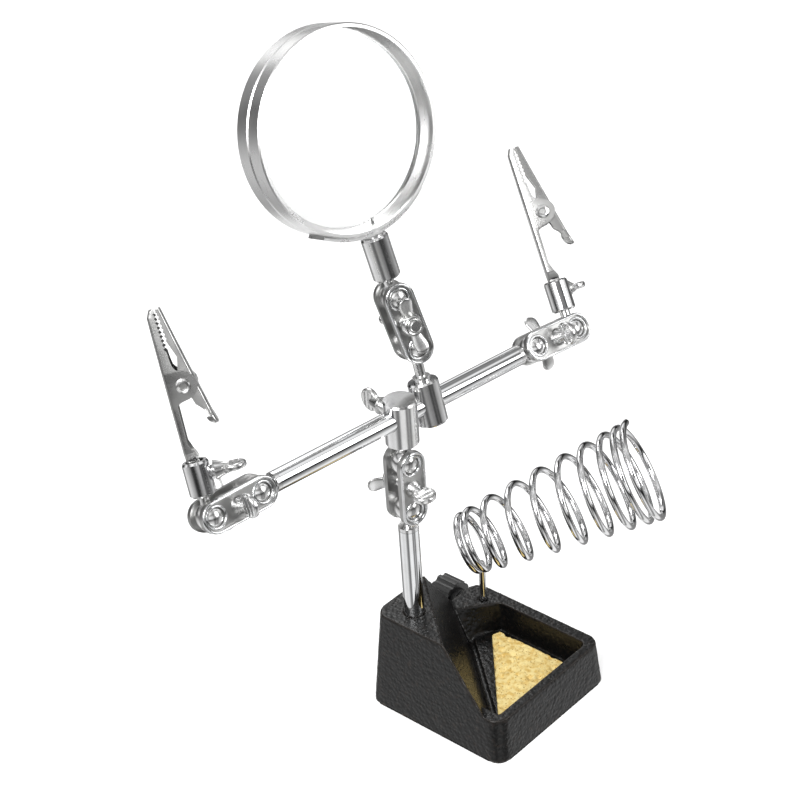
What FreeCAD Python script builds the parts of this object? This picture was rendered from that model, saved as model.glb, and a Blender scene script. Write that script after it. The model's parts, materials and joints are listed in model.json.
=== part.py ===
import FreeCAD, Part
import math
import os
import Sketcher

# Third-hand soldering stand: cast base with sponge tray and coil holder for the iron,
# a post, a clamped crossbar with two alligator clips, and a magnifier.
# Frame: +Z up, origin on the underside of the base, at its centre. Millimetres.

V = FreeCAD.Vector
Placement = FreeCAD.Placement
Rotation = FreeCAD.Rotation
X, Y, Z = V(1, 0, 0), V(0, 1, 0), V(0, 0, 1)

doc = FreeCAD.newDocument("soldering_stand")
dims = doc.addObject("Spreadsheet::Sheet", "dims")

DIMENSIONS = {
    # cast base
    "base_side": 57.0, "base_corner": 5.0, "base_draft": 4.5, "block_height": 36.0,
    "ledge_height": 16.0, "tray_floor": 5.0, "platform_rise": 1.0, "rim_front": 3.4,
    "rim_side": 4.4, "relief_angle": 50.0, "relief_top": 17.0, "relief_low": 7.0,
    "tray_toe": 3.0,
    # sponge
    "sponge_long": 36.0, "sponge_short": 28.6, "sponge_thick": 3.0, "sponge_blunt": 3.0,
    # coil holder, its leg and clamp knob
    "wire": 2.3, "coil_small": 9.7, "coil_large": 16.7, "leg_x": 21.1, "leg_y": 18.7,
    "leg_rise": 16.4, "leg_depth": 9.0, "coil_length": 66.0, "coil_turns": 9.6,
    "holder_azimuth": -53.0, "holder_rise": 26.5, "knob_height": 10.5, "knob_radius": 6.5,
    "knob_length": 8.0, "knob_gap": 2.4, "knob_screw": 2.0,
    # post and crossbar
    "post_x": -17.4, "post_y": 15.3, "post_radius": 3.4, "post_depth": 18.0,
    "bar_radius": 3.35, "bar_half": 49.0, "bar_height": 111.6, "bar_yaw": -7.5,
    # ball joints
    "ball_radius": 4.4, "neck_radius": 1.7, "ball_low": 77.7, "ball_spacing": 17.2,
    "plate_half_width": 5.0, "plate_inner": 2.6, "plate_thick": 2.0, "plate_recess": 0.8,
    "plate_rim": 0.9, "ball_hole": 2.9, "link_screw": 1.9, "fit": 0.06,
    # thumb screws and wing nuts
    "paddle_radius": 3.9, "paddle_thick": 2.0, "hub_radius": 3.0, "wing_reach": 9.4,
    "wing_width": 4.4, "wing_thick": 1.3,
    # clamps and sockets
    "clamp_radius": 5.4, "clamp_top": 6.1, "clamp_bottom": 9.6, "clamp_screw_reach": 14.3,
    "mag_clamp_radius": 5.0, "mag_clamp_offset": 11.2, "mag_clamp_lean": 16.0,
    "socket_radius": 4.0, "socket_start": 6.6, "socket_end": 17.0, "socket_bore": 2.7,
    "mag_socket_radius": 4.35, "mag_socket_end": 20.5,
    # magnifier
    "ring_reach": 54.5, "ring_radius": 31.5, "ring_bore": 30.2, "ring_width": 12.0, "ring_lip": 28.6,
    "lens_radius": 29.9, "lens_face": 115.0, "lens_half": 4.2, "saddle_width": 8.5,
    "saddle_thick": 1.2, "saddle_half_angle": 36.0,
    # alligator clips
    "clip_length": 45.5, "clip_width": 6.4, "clip_sheet": 0.7, "rivet_height": 22.6,
    "rivet_side": 2.9, "rivet_radius": 1.5,
    # how the arms are set: twist of a link about its stud, bend along it, elbow at its far ball
    "low_twist": -8.9, "left_twist": -158.7, "left_bend": 1.1, "left_elbow": -95.3,
    "left_clip_turn": -34.4, "left_screw_turn": 0.0, "left_screw_drop": 4.0,
    "right_twist": -214.4, "right_bend": -1.9, "right_elbow": 83.4,
    "right_clip_turn": -32.6, "right_screw_turn": 54.0, "right_screw_drop": 3.5,
    "mag_twist": 177.5, "mag_bend": 8.1, "mag_roll": -9.8, "mag_elbow": -3.6,
}
for row, (alias, value) in enumerate(DIMENSIONS.items(), start=1):
    dims.set(f"A{row}", alias)
    dims.set(f"B{row}", str(value))
    dims.setAlias(f"B{row}", alias)
doc.recompute()

pieces = []      # every finished sub-part, in the order of assembly


def size(alias):
    return float(dims.get(alias))


def number(expression):
    value = dims.evalExpression(expression)
    return float(getattr(value, "Value", value))


def bind(obj, **expressions):
    for prop, expression in expressions.items():
        obj.setExpression(prop, expression)
    return obj


def finish(obj, label, place=None):
    """Name a finished sub-part and put it in its place."""
    obj.Label = label
    if place is not None:
        obj.Placement = place
    pieces.append(obj)
    return obj


def frame(origin, z_axis, x_axis):
    """Placement whose local Z and X point along the two given directions."""
    side = z_axis.cross(x_axis)
    return Placement(origin, Rotation(side.cross(z_axis), side, z_axis, "ZXY"))


def turned(vector, axis, degrees):
    return Rotation(axis, degrees).multVec(vector)


# ---------------------------------------------------------------- primitives

def cylinder(name, radius, height, place=Placement()):
    obj = doc.addObject("Part::Cylinder", name)
    obj.Placement = place
    return bind(obj, Radius=radius, Height=height)


def cone(name, radius_low, radius_high, height, place=Placement()):
    obj = doc.addObject("Part::Cone", name)
    obj.Placement = place
    return bind(obj, Radius1=radius_low, Radius2=radius_high, Height=height)


def sphere(name, radius, place=Placement()):
    obj = doc.addObject("Part::Sphere", name)
    obj.Placement = place
    return bind(obj, Radius=radius)


def box(name, length, width, height, place=Placement()):
    obj = doc.addObject("Part::Box", name)
    obj.Placement = place
    return bind(obj, Length=length, Width=width, Height=height)


def fuse(name, shapes):
    obj = doc.addObject("Part::MultiFuse", name)
    obj.Shapes = shapes
    obj.Refine = True
    return obj


def cut(name, base, tool):
    obj = doc.addObject("Part::Cut", name)
    obj.Base = base
    obj.Tool = tool
    obj.Refine = True
    return obj


def at(x=0.0, y=0.0, z=0.0, axis=Z, degrees=0.0):
    return Placement(V(x, y, z), Rotation(axis, degrees))


# ---------------------------------------------------------- sketched bodies

def new_body(name):
    return doc.addObject("PartDesign::Body", name)


def origin_plane(body, role):
    return next(f for f in body.Origin.OriginFeatures if f.Role == role)


def new_sketch(body, name, role="XY_Plane", offset=Placement()):
    sketch = body.newObject("Sketcher::SketchObject", name)
    sketch.AttachmentSupport = [(origin_plane(body, role), "")]
    sketch.MapMode = "FlatFace"
    sketch.AttachmentOffset = offset
    return sketch


def bind_coordinate(sketch, kind, index, expression, point=1):
    """Tie one coordinate of a point of edge `index` (1 start, 3 centre) to an expression."""
    value = number(expression)
    if abs(value) < 1e-9:
        axis = -2 if kind == "DistanceX" else -1
        sketch.addConstraint(Sketcher.Constraint("PointOnObject", index, point, axis))
        return
    ends = (-1, 1, index, point) if value > 0 else (index, point, -1, 1)
    row = sketch.addConstraint(Sketcher.Constraint(kind, *ends, abs(value)))
    sketch.setExpression(f"Constraints[{row}]", expression if value > 0 else f"-({expression})")


def polygon(sketch, corners):
    """Closed outline whose corners are pairs of expressions."""
    first = sketch.GeometryCount
    points = [V(number(x), number(y), 0) for x, y in corners]
    count = len(points)
    for i in range(count):
        sketch.addGeometry(Part.LineSegment(points[i], points[(i + 1) % count]), False)
    for i in range(count):
        following = first + (i + 1) % count
        sketch.addConstraint(Sketcher.Constraint("Coincident", first + i, 2, following, 1))
    for i, (x_expression, y_expression) in enumerate(corners):
        bind_coordinate(sketch, "DistanceX", first + i, x_expression)
        bind_coordinate(sketch, "DistanceY", first + i, y_expression)


def circle(sketch, x, y, radius):
    """Circle with its centre and radius given as expressions."""
    index = sketch.GeometryCount
    sketch.addGeometry(Part.Circle(V(number(x), number(y), 0), Z, number(radius)), False)
    bind_coordinate(sketch, "DistanceX", index, x, point=3)
    bind_coordinate(sketch, "DistanceY", index, y, point=3)
    row = sketch.addConstraint(Sketcher.Constraint("Radius", index, number(radius)))
    sketch.setExpression(f"Constraints[{row}]", radius)


def pad(body, name, sketch, length, midplane=False, reverse=False):
    feature = body.newObject("PartDesign::Pad", name)
    feature.Profile = sketch
    feature.Midplane = midplane
    feature.Reversed = reverse
    feature.setExpression("Length", length)
    return feature


def pocket(body, name, sketch, length=None, midplane=False, reverse=False):
    feature = body.newObject("PartDesign::Pocket", name)
    feature.Profile = sketch
    feature.Reversed = reverse
    if length is None:
        feature.Type = "ThroughAll"
    else:
        feature.setExpression("Length", length)
    feature.Midplane = midplane
    doc.recompute()
    if feature.Shape.Volume >= feature.BaseFeature.Shape.Volume - 1e-6:
        raise RuntimeError(f"{body.Name}: {name} cuts nothing")
    return feature


def revolve(body, name, sketch, axis="H_Axis", angle="360"):
    feature = body.newObject("PartDesign::Revolution", name)
    feature.Profile = sketch
    feature.ReferenceAxis = (sketch, [axis])
    feature.setExpression("Angle", angle)
    return feature


def round_edges(body, name, radius, wanted):
    """Fillet the edges of the body's last feature for which wanted(edge) is true."""
    doc.recompute()
    base = body.Tip
    names = [f"Edge{i}" for i, edge in enumerate(base.Shape.Edges, start=1) if wanted(edge)]
    feature = body.newObject("PartDesign::Fillet", name)
    feature.Base = (base, names)
    feature.setExpression("Radius", radius)
    return feature


# ------------------------------------------------------------------ the base

def build_base():
    """Cast base: a triangular block for the post, and a sloping relief down into a tray."""
    body = new_body("base_body")
    outline = new_sketch(body, "base_outline")
    half = "dims.base_side / 2"
    polygon(outline, [(f"-{half}", f"-{half}"), (half, f"-{half}"), (half, half), (f"-{half}", half)])
    block = pad(body, "base_block", outline, "dims.block_height")
    block.setExpression("TaperAngle", "-dims.base_draft")
    round_edges(body, "base_corners", "dims.base_corner",
                lambda e: abs(e.Vertexes[0].Z - e.Vertexes[-1].Z) > 10)

    lean = Placement(V(), Rotation(Y, size("relief_angle") - 90))
    relief = new_sketch(body, "relief_profile", "XZ_Plane", lean)
    polygon(relief, [("-dims.relief_top", "dims.block_height"),
                     ("-dims.relief_low", "dims.ledge_height"),
                     ("dims.base_side", "dims.ledge_height"),
                     ("dims.base_side", "dims.block_height + 5"),
                     ("-dims.relief_top", "dims.block_height + 5")])
    pocket(body, "relief", relief, "4 * dims.base_side", midplane=True)

    # tray: its long side is the foot of the slope, its walls lean by a millimetre
    tray = body.newObject("PartDesign::SubtractiveLoft", "tray")
    sections = []
    for level, inset, foot in (("dims.ledge_height", "0", "dims.relief_low"),
                               ("dims.tray_floor", "1", "dims.tray_toe")):
        side = f"(dims.base_side / 2 - 1.2 - dims.rim_side - {inset})"
        front = f"(dims.base_side / 2 - 1.2 - dims.rim_front - {inset})"
        left = f"(dims.base_side / 2 - 5.5 - {inset})"
        slope = "tan(dims.relief_angle * 1deg)"
        reach = f"{foot} / cos(dims.relief_angle * 1deg)"
        sketch = new_sketch(body, f"tray_section_{len(sections)}", "XY_Plane", at(z=number(level)))
        polygon(sketch, [(f"-{left}", f"-{left} * {slope} + {reach}"),
                         (f"-{left}", f"-{front}"),
                         (side, f"-{front}"),
                         (side, f"{side} * 0.55"),
                         (f"{side} * 0.45", f"{side} * 0.45 * {slope} + {reach}")])
        sections.append(sketch)
    tray.Profile = sections[0]
    tray.Sections = [sections[1]]
    tray.Ruled = True
    round_edges(body, "tray_corners", "2.2", is_tray_corner)
    doc.recompute()

    platform = new_sketch(body, "platform_outline", "XY_Plane", at(z=size("tray_floor") - 0.2))
    polygon(platform, [("-19.2", "-21.2"), ("20.4", "-21.2"), ("20.4", "11.5"), ("12", "16")])
    pad(body, "platform", platform, "dims.platform_rise + 0.2")

    # blind bores for the post and for the holder's leg, and the clamp screw's hole
    for name, x, y, radius, top, depth in (
            ("post_bore", "dims.post_x", "dims.post_y", "dims.post_radius + dims.fit",
             "block_height", "dims.post_depth"),
            ("leg_bore", "dims.leg_x", "dims.leg_y", "dims.wire / 2 + dims.fit",
             "ledge_height", "dims.leg_depth + 0.5"),
            ("leg_mouth", "dims.leg_x", "dims.leg_y", "dims.wire / 2 + 0.7",
             "ledge_height", "0.6")):
        sketch = new_sketch(body, f"{name}_circle", "XY_Plane", at(z=size(top)))
        circle(sketch, x, y, radius)
        pocket(body, name, sketch, depth)
    sketch = new_sketch(body, "clamp_circle", "XZ_Plane", at(z=-size("leg_y")))
    circle(sketch, "dims.leg_x", "dims.knob_height", "dims.knob_screw + dims.fit")
    pocket(body, "clamp_bore", sketch, "dims.base_side / 2 - dims.leg_y + 2")
    return body


def is_tray_corner(edge):
    """Slanted edges of the tray between its floor and the ledge, away from its narrow end."""
    low, high = sorted(v.Z for v in edge.Vertexes[:2]) if len(edge.Vertexes) > 1 else (0, 0)
    return (abs(low - size("tray_floor")) < 0.01 and abs(high - size("ledge_height")) < 0.01
            and edge.Length < 12.5 and edge.CenterOfMass.x > 0)


def build_sponge():
    """Cut cellulose pad, a right triangle with a blunt tip, lying on the tray's platform."""
    body = new_body("sponge_body")
    rest = size("tray_floor") + size("platform_rise") + 0.05
    outline = new_sketch(body, "sponge_outline", "XY_Plane", at(z=rest))
    polygon(outline, [("17.2 - dims.sponge_long", "-20"), ("17.2", "-20"),
                      ("17.2", "dims.sponge_short - 20"),
                      ("17.2 - dims.sponge_blunt", "dims.sponge_short - 19")])
    pad(body, "sponge_pad", outline, "dims.sponge_thick")
    return body


# --------------------------------------------------- coil holder and its clamp

def between(value, table):
    """Straight-line reading of a table of (place, amount) rows."""
    for (left, low), (right, high) in zip(table, table[1:]):
        if value <= right:
            return low + (high - low) * (value - left) / (right - left)
    return table[-1][1]


def coil_pitch(turn):
    """Advance per turn: nearly closed at both ends, widest just past the inner end."""
    return between(turn, [(0, 2.75), (1.1, 2.8), (2.0, 8.5), (2.8, 9.8), (5.0, 9.8), (6.5, 8.0), (7.6, 6.5),
                          (8.4, 3.9), (9.6, 3.5)])


def holder_corners():
    """Corners round which the wire runs: the leg's foot and top, then a left-hand conical coil."""
    azimuth, rise = math.radians(size("holder_azimuth")), math.radians(size("holder_rise"))
    axis = V(math.cos(azimuth) * math.cos(rise), math.sin(azimuth) * math.cos(rise), math.sin(rise))
    up = (Z - axis * Z.dot(axis)).normalize()
    side = axis.cross(up)
    small, large = size("coil_small"), size("coil_large")
    steps, bend = 12, 2.6
    foot = V(size("leg_x"), size("leg_y"), size("ledge_height") - size("leg_depth"))
    knee = V(foot.x, foot.y, size("ledge_height") + size("leg_rise"))
    centre = knee + side * bend + up * small
    outside = 1 / math.cos(math.pi / steps)      # the corners stand outside the round coil
    corners, advance = [foot, knee], 0.0
    for i in range(int(size("coil_turns") * steps)):
        turn = (i + 0.5) / steps
        advance += coil_pitch(turn) / steps
        radius = small + (large - small) * min(advance / size("coil_length"), 1.0) ** 0.75
        angle = math.pi - 2 * math.pi * turn
        spoke = up * math.cos(angle) + side * math.sin(angle)
        corners.append(centre + axis * advance + spoke * (radius * outside))
    return corners


def rounded_wire(corners):
    """Straight runs joined by tangent arcs, each nearly as large as its two runs allow."""
    edges, start = [], corners[0]
    for before, corner, after in zip(corners, corners[1:], corners[2:]):
        back, ahead = before - corner, after - corner
        setback = 0.48 * min(back.Length, ahead.Length)
        back.normalize()
        ahead.normalize()
        half = back.getAngle(ahead) / 2
        middle = (back + ahead).normalize()
        radius = setback * math.tan(half)
        first, last = corner + back * setback, corner + ahead * setback
        crown = corner + middle * (radius / math.sin(half) - radius)
        edges += [Part.LineSegment(start, first).toShape(), Part.Arc(first, crown, last).toShape()]
        start = last
    edges.append(Part.LineSegment(start, corners[-1]).toShape())
    return Part.Wire(edges)


def build_holder():
    spine = rounded_wire(holder_corners())
    foot = spine.Edges[0].Vertexes[0].Point
    radius = size("wire") / 2
    profile = Part.Wire([Part.Circle(foot, Z, radius).toShape()])
    feature = doc.addObject("Part::Feature", "holder_wire")
    feature.Shape = spine.makePipeShell([profile], True, False)
    expected = math.pi * radius ** 2 * spine.Length
    if abs(feature.Shape.Volume / expected - 1) > 0.01:
        raise RuntimeError("the holder's wire isn't its section times its length")
    return feature


def build_knob():
    """Moulded thumb knob with ten flutes and a boss towards the wall; its screw is pressed in."""
    body = new_body("knob_body")
    disc = new_sketch(body, "knob_disc")
    circle(disc, "0", "0", "dims.knob_radius")
    pad(body, "knob_grip", disc, "dims.knob_length")
    doc.recompute()
    flute = new_sketch(body, "knob_flute")
    circle(flute, "dims.knob_radius + 0.7", "0", "1.5")
    groove = pocket(body, "knob_groove", flute, "dims.knob_length", reverse=True)
    ring = body.newObject("PartDesign::PolarPattern", "knob_flutes")
    ring.Originals = [groove]
    ring.Axis = (disc, ["N_Axis"])
    ring.Angle = 360
    ring.Occurrences = 10
    body.Tip = ring
    boss = new_sketch(body, "knob_boss_circle")
    circle(boss, "0", "0", "4")
    pad(body, "knob_boss", boss, "1.6", reverse=True)
    bore = new_sketch(body, "knob_bore_circle", "XY_Plane", at(z=-1.6))
    circle(bore, "0", "0", "dims.knob_screw + 0.02")
    pocket(body, "knob_bore", bore, "6.6", reverse=True)
    return body


# --------------------------------------------------------- ball joints and links

def build_plate(name):
    """Pressed link plate: a slot-shaped dish with two ball holes and a screw hole."""
    body = new_body(f"{name}_body")
    level = at(z=size("plate_inner"))
    outline = new_sketch(body, f"{name}_outline", "XY_Plane", level)
    stadium(outline, "dims.plate_half_width")
    pad(body, f"{name}_blank", outline, "dims.plate_thick")
    top = size("plate_inner") + size("plate_thick")
    round_edges(body, f"{name}_shoulder", "0.8",
                lambda e: all(abs(v.Z - top) < 0.01 for v in e.Vertexes))
    recess = new_sketch(body, f"{name}_recess_outline", "XY_Plane", at(z=top))
    stadium(recess, "dims.plate_half_width - dims.plate_rim")
    pocket(body, f"{name}_recess", recess, "dims.plate_recess")
    holes = new_sketch(body, f"{name}_holes_outline", "XY_Plane", level)
    circle(holes, "0", "0", "dims.ball_hole")
    circle(holes, "dims.ball_spacing", "0", "dims.ball_hole")
    circle(holes, "dims.ball_spacing / 2", "0", "dims.link_screw + dims.fit")
    pocket(body, f"{name}_holes", holes, "dims.plate_thick + 1", reverse=True)
    for end in (0, 1):
        seat = body.newObject("PartDesign::SubtractiveSphere", f"{name}_seat_{end}")
        seat.AttachmentSupport = [(origin_plane(body, "XY_Plane"), "")]
        seat.MapMode = "FlatFace"
        seat.AttachmentOffset = at(x=end * size("ball_spacing"))
        seat.setExpression("Radius", "dims.ball_radius + dims.fit")
    return body


def stadium(sketch, radius):
    """Slot outline from the origin to the second ball, of the given half width."""
    span, half = size("ball_spacing"), number(radius)
    sketch.addGeometry(Part.LineSegment(V(0, half, 0), V(span, half, 0)), False)
    far = Part.Circle(V(span, 0, 0), Z, half)
    sketch.addGeometry(Part.ArcOfCircle(far, -math.pi / 2, math.pi / 2), False)
    sketch.addGeometry(Part.LineSegment(V(span, -half, 0), V(0, -half, 0)), False)
    near = Part.Circle(V(0, 0, 0), Z, half)
    sketch.addGeometry(Part.ArcOfCircle(near, math.pi / 2, 3 * math.pi / 2), False)
    for line, end, arc, arc_end in ((0, 1, 3, 1), (0, 2, 1, 2), (2, 1, 1, 1), (2, 2, 3, 2)):
        sketch.addConstraint(Sketcher.Constraint("Tangent", line, end, arc, arc_end))
    sketch.addConstraint(Sketcher.Constraint("Coincident", 3, 3, -1, 1))
    sketch.addConstraint(Sketcher.Constraint("PointOnObject", 1, 3, -1))
    row = sketch.addConstraint(Sketcher.Constraint("DistanceX", -1, 1, 1, 3, span))
    sketch.setExpression(f"Constraints[{row}]", "dims.ball_spacing")
    row = sketch.addConstraint(Sketcher.Constraint("Radius", 3, half))
    sketch.setExpression(f"Constraints[{row}]", radius)


def build_thumb_screw(name, tip, seat):
    """Screw with a flattened round paddle for a head; local Z runs out through the head."""
    low, high = number(tip), number(seat)
    shank = cylinder(f"{name}_shank", "dims.link_screw", f"{seat} - ({tip}) + 1", at(z=low))
    hub = cone(f"{name}_hub", "dims.hub_radius", "dims.hub_radius - 0.9", "2.4", at(z=high))
    centre = high + 1.2 + size("paddle_radius")
    edge_on = Rotation(Y, 90)
    paddle = cylinder(f"{name}_paddle", "dims.paddle_radius", "dims.paddle_thick",
                      Placement(V(-size("paddle_thick") / 2, 0, centre), edge_on))
    return fuse(f"{name}_screw", [shank, hub, paddle])


def build_wing_nut(name):
    """Nut with two flat wings; local Z points away from the plate that it bears on."""
    hub = cone(f"{name}_hub", "dims.hub_radius + 0.5", "dims.hub_radius - 0.2", "3.8")
    wings = []
    for turn in (0, 180):
        lift = Rotation(Z, turn).multiply(Rotation(Y, -16))
        start = lift.multVec(V(1.5, 0, 0)) + Z * 0.6 - lift.multVec(V(0, size("wing_thick") / 2, 0))
        wings.append(box(f"{name}_wing_{turn}", "dims.wing_reach - 1.5", "dims.wing_thick",
                         "dims.wing_width", Placement(start, lift)))
    bore = cylinder(f"{name}_thread", "dims.link_screw + dims.fit", "9", at(z=-2))
    return cut(f"{name}_nut", fuse(f"{name}_blank", [hub] + wings), bore)


def build_ball_stud(name, neck_end, collar_radius=None, collar="1.4", spigot_radius="dims.neck_radius",
                    spigot="3.5"):
    """Ball on a neck, with a collar and a spigot that goes into the piece it carries."""
    end = number(neck_end)
    shapes = [sphere(f"{name}_ball", "dims.ball_radius"),
              cylinder(f"{name}_neck", "dims.neck_radius", neck_end)]
    if collar_radius:
        shapes.append(cylinder(f"{name}_collar", collar_radius, collar, at(z=end - 0.01)))
        end += number(collar) - 0.02
    shapes.append(cylinder(f"{name}_spigot", spigot_radius, spigot, at(z=end)))
    return fuse(f"{name}_stud", shapes)


# ------------------------------------------------------------ clamps and sockets

def build_barrel(name, radius, bottom, top, stud_depth, bar_bore=False, screw_level=None,
                 stud_on_top=False):
    """Turned barrel about local Z with its bores; the bar runs along local X."""
    low, high = number(bottom), number(top)
    chamfer = 0.6
    middle = cylinder(f"{name}_middle", radius, f"{top} - ({bottom}) - 1.2", at(z=low + chamfer))
    foot = cone(f"{name}_foot", f"{radius} - 0.6", radius, "0.6", at(z=low))
    head = cone(f"{name}_head", radius, f"{radius} - 0.4", "0.6", at(z=high - chamfer))
    solid = fuse(f"{name}_turning", [foot, middle, head])
    tools = []
    if bar_bore:
        tools.append(cylinder(f"{name}_bar_bore", "dims.bar_radius + dims.fit", f"2 * {radius} + 2",
                              Placement(V(-number(radius) - 1, 0, 0), Rotation(Y, 90))))
    if stud_depth:
        start = high - number(stud_depth) if stud_on_top else low - 1
        tools.append(cylinder(f"{name}_stud_bore", "dims.neck_radius + dims.fit",
                              f"{stud_depth} + 1", at(z=start)))
    if screw_level is not None:
        tools.append(cylinder(f"{name}_screw_bore", "dims.link_screw + dims.fit", f"{radius} + 1",
                              Placement(V(0, 0, number(screw_level)), Rotation(X, -90))))
    return solid, tools


def bored(name, solid, tools):
    return cut(name, solid, fuse(f"{name}_tools", tools) if len(tools) > 1 else tools[0])


def build_socket(name, radius, end, top_bore, top_depth, screw_level=None):
    """Barrel on a ball stud: its top bore takes a clip's tail, or the saddle's screw."""
    solid, tools = build_barrel(f"{name}_barrel", radius, "dims.socket_start", end, "3.6",
                                screw_level=screw_level)
    tools.append(cylinder(f"{name}_top_bore", top_bore, f"{top_depth} + 1",
                          at(z=number(end) - number(top_depth))))
    return bored(f"{name}_socket", solid, tools)


# ---------------------------------------------------------------- the magnifier

def build_ring(name):
    """Half of the lens ring, spun about local Z from its middle plane; X points to the socket."""
    body = new_body(f"{name}_body")
    sketch = new_sketch(body, f"{name}_section", "XZ_Plane")
    rim = "dims.ring_width / 2"
    polygon(sketch, [("dims.ring_bore", "0.05"), ("dims.ring_radius - 0.5", "0.05"),
                     ("dims.ring_radius", "0.5"), ("dims.ring_radius", f"{rim} - 0.4"),
                     ("dims.ring_radius - 0.4", rim), ("dims.ring_bore", rim),
                     ("dims.ring_bore", "1.9"), ("dims.ring_lip", "1.9"),
                     ("dims.ring_lip", "0.9"), ("dims.ring_bore", "0.9")])
    revolve(body, f"{name}_band", sketch, "V_Axis")
    outward = Rotation(Y, 90)
    hole = cylinder(f"{name}_hole", "1.35", "5", Placement(V(size("ring_bore") - 1, 0, 0), outward))
    notch = cylinder(f"{name}_notch", "2", "3.4", Placement(V(size("ring_lip") - 1, 0, 0), outward))
    return cut(name, body, fuse(f"{name}_tools", [hole, notch]))


def build_lens():
    """Biconvex glass: the part that two large spheres have in common."""
    reach = size("lens_face")
    radius = "dims.lens_face"
    front = sphere("lens_front", radius, at(z=size("lens_half") - reach))
    back = sphere("lens_back", radius, at(z=reach - size("lens_half")))
    edge = cylinder("lens_edge", "dims.lens_radius", "20", at(z=-10))
    lens = doc.addObject("Part::MultiCommon", "lens_blank")
    lens.Shapes = [front, back, edge]
    return lens


def build_saddle():
    """Curved strip that follows the ring's outside, with a short boss on the socket."""
    body = new_body("saddle_body")
    sketch = new_sketch(body, "saddle_arc")
    inner, outer = size("ring_radius") + 0.05, size("ring_radius") + size("saddle_thick")
    half = math.radians(size("saddle_half_angle"))
    for radius in (inner, outer):
        sketch.addGeometry(Part.ArcOfCircle(Part.Circle(V(), Z, radius), -half, half), False)
    for sign in (-1, 1):
        ray = V(math.cos(sign * half), math.sin(sign * half), 0)
        sketch.addGeometry(Part.LineSegment(ray * inner, ray * outer), False)
    for line, end in ((2, 1), (3, 2)):
        sketch.addConstraint(Sketcher.Constraint("Coincident", line, 1, 0, end))
        sketch.addConstraint(Sketcher.Constraint("Coincident", line, 2, 1, end))
    for arc, rule in ((0, "dims.ring_radius + 0.05"), (1, "dims.ring_radius + dims.saddle_thick")):
        sketch.addConstraint(Sketcher.Constraint("Coincident", arc, 3, -1, 1))
        row = sketch.addConstraint(Sketcher.Constraint("Radius", arc, number(rule)))
        sketch.setExpression(f"Constraints[{row}]", rule)
    pad(body, "saddle_strip", sketch, "dims.saddle_width", midplane=True)
    foot = new_sketch(body, "saddle_boss_circle", "YZ_Plane", at(z=size("ring_radius") + 0.6))
    circle(foot, "0", "0", "3")
    boss = "dims.ring_reach - dims.ring_radius - 0.6 - dims.mag_socket_end - 0.05"
    pad(body, "saddle_boss", foot, boss)
    hole = new_sketch(body, "saddle_hole_circle", "YZ_Plane", at(z=size("ring_radius") - 2))
    circle(hole, "0", "0", "1.35")
    pocket(body, "saddle_hole", hole, "8", reverse=True)
    return body


def build_saddle_screw():
    """Countersunk screw from inside the ring, through the saddle, into the socket."""
    top = size("ring_reach") - size("ring_bore") - 0.05
    shank = cylinder("saddle_screw_shank", "1.25", "8", at(z=top - 8.5))
    head = cone("saddle_screw_head", "1.25", "1.9", "0.7", at(z=top - 0.7))
    return fuse("saddle_screw", [shank, head])


# ------------------------------------------------------------- alligator clips

def build_fixed_jaw(name):
    """Folded sheet jaw: a straight back, two cheeks round the rivet and a rolled tail."""
    body = new_body(f"{name}_body")
    base = "dims.socket_end"
    outline = new_sketch(body, f"{name}_side", "XZ_Plane")
    polygon(outline, [("-2.3", f"{base} - 6"), ("1.9", f"{base} - 6"), ("1.9", f"{base} + 8"),
                      ("5", f"{base} + 19"), ("5", f"{base} + 25"), ("1", f"{base} + 30"),
                      ("0.45", f"{base} + dims.clip_length"), ("-1.2", f"{base} + dims.clip_length"),
                      ("-2.3", f"{base} + dims.clip_length - 2")])
    pad(body, f"{name}_blank", outline, "dims.clip_width", midplane=True)
    doc.recompute()
    channel = new_sketch(body, f"{name}_channel_front", "YZ_Plane", at(z=size("clip_sheet") - 2.3))
    wall = "(dims.clip_width / 2 - dims.clip_sheet)"
    polygon(channel, [(f"-{wall}", f"{base} + 1"), (wall, f"{base} + 1"), (wall, f"{base} + 27"),
                      ("1.3", f"{base} + dims.clip_length + 1"),
                      ("-1.3", f"{base} + dims.clip_length + 1"), (f"-{wall}", f"{base} + 27")])
    pocket(body, f"{name}_channel", channel, "20", reverse=True)
    # the tail is rolled narrower than the jaw, to go into the socket's bore
    for side in (-1, 1):
        edge = f"{side} * 1.3"
        sketch = new_sketch(body, f"{name}_tail_{'front' if side < 0 else 'back'}", "YZ_Plane")
        polygon(sketch, [(edge, f"{base} - 7"), (f"{side} * 4", f"{base} - 7"),
                         (f"{side} * 4", f"{base} + 3"), (edge, f"{base} + 0.4")])
        pocket(body, f"{name}_waist_{'front' if side < 0 else 'back'}", sketch, "20", midplane=True)
    trim_tip(body, name, base, "dims.clip_width / 2")
    hole = new_sketch(body, f"{name}_rivet_circle", "XZ_Plane")
    circle(hole, "dims.rivet_side", f"{base} + dims.rivet_height", "dims.rivet_radius + 0.02")
    pocket(body, f"{name}_rivet_hole", hole, "20", midplane=True)
    return body


def trim_tip(body, name, base, half):
    """Taper the jaw's width towards its tip."""
    for side in (-1, 1):
        sketch = new_sketch(body, f"{name}_taper_{'front' if side < 0 else 'back'}", "YZ_Plane")
        polygon(sketch, [(f"{side} * {half}", f"{base} + 27"), (f"{side} * 5", f"{base} + 27"),
                         (f"{side} * 5", f"{base} + dims.clip_length + 1"),
                         (f"{side} * 2", f"{base} + dims.clip_length + 1")])
        pocket(body, f"{name}_tip_{'front' if side < 0 else 'back'}", sketch, "40", midplane=True)


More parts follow.
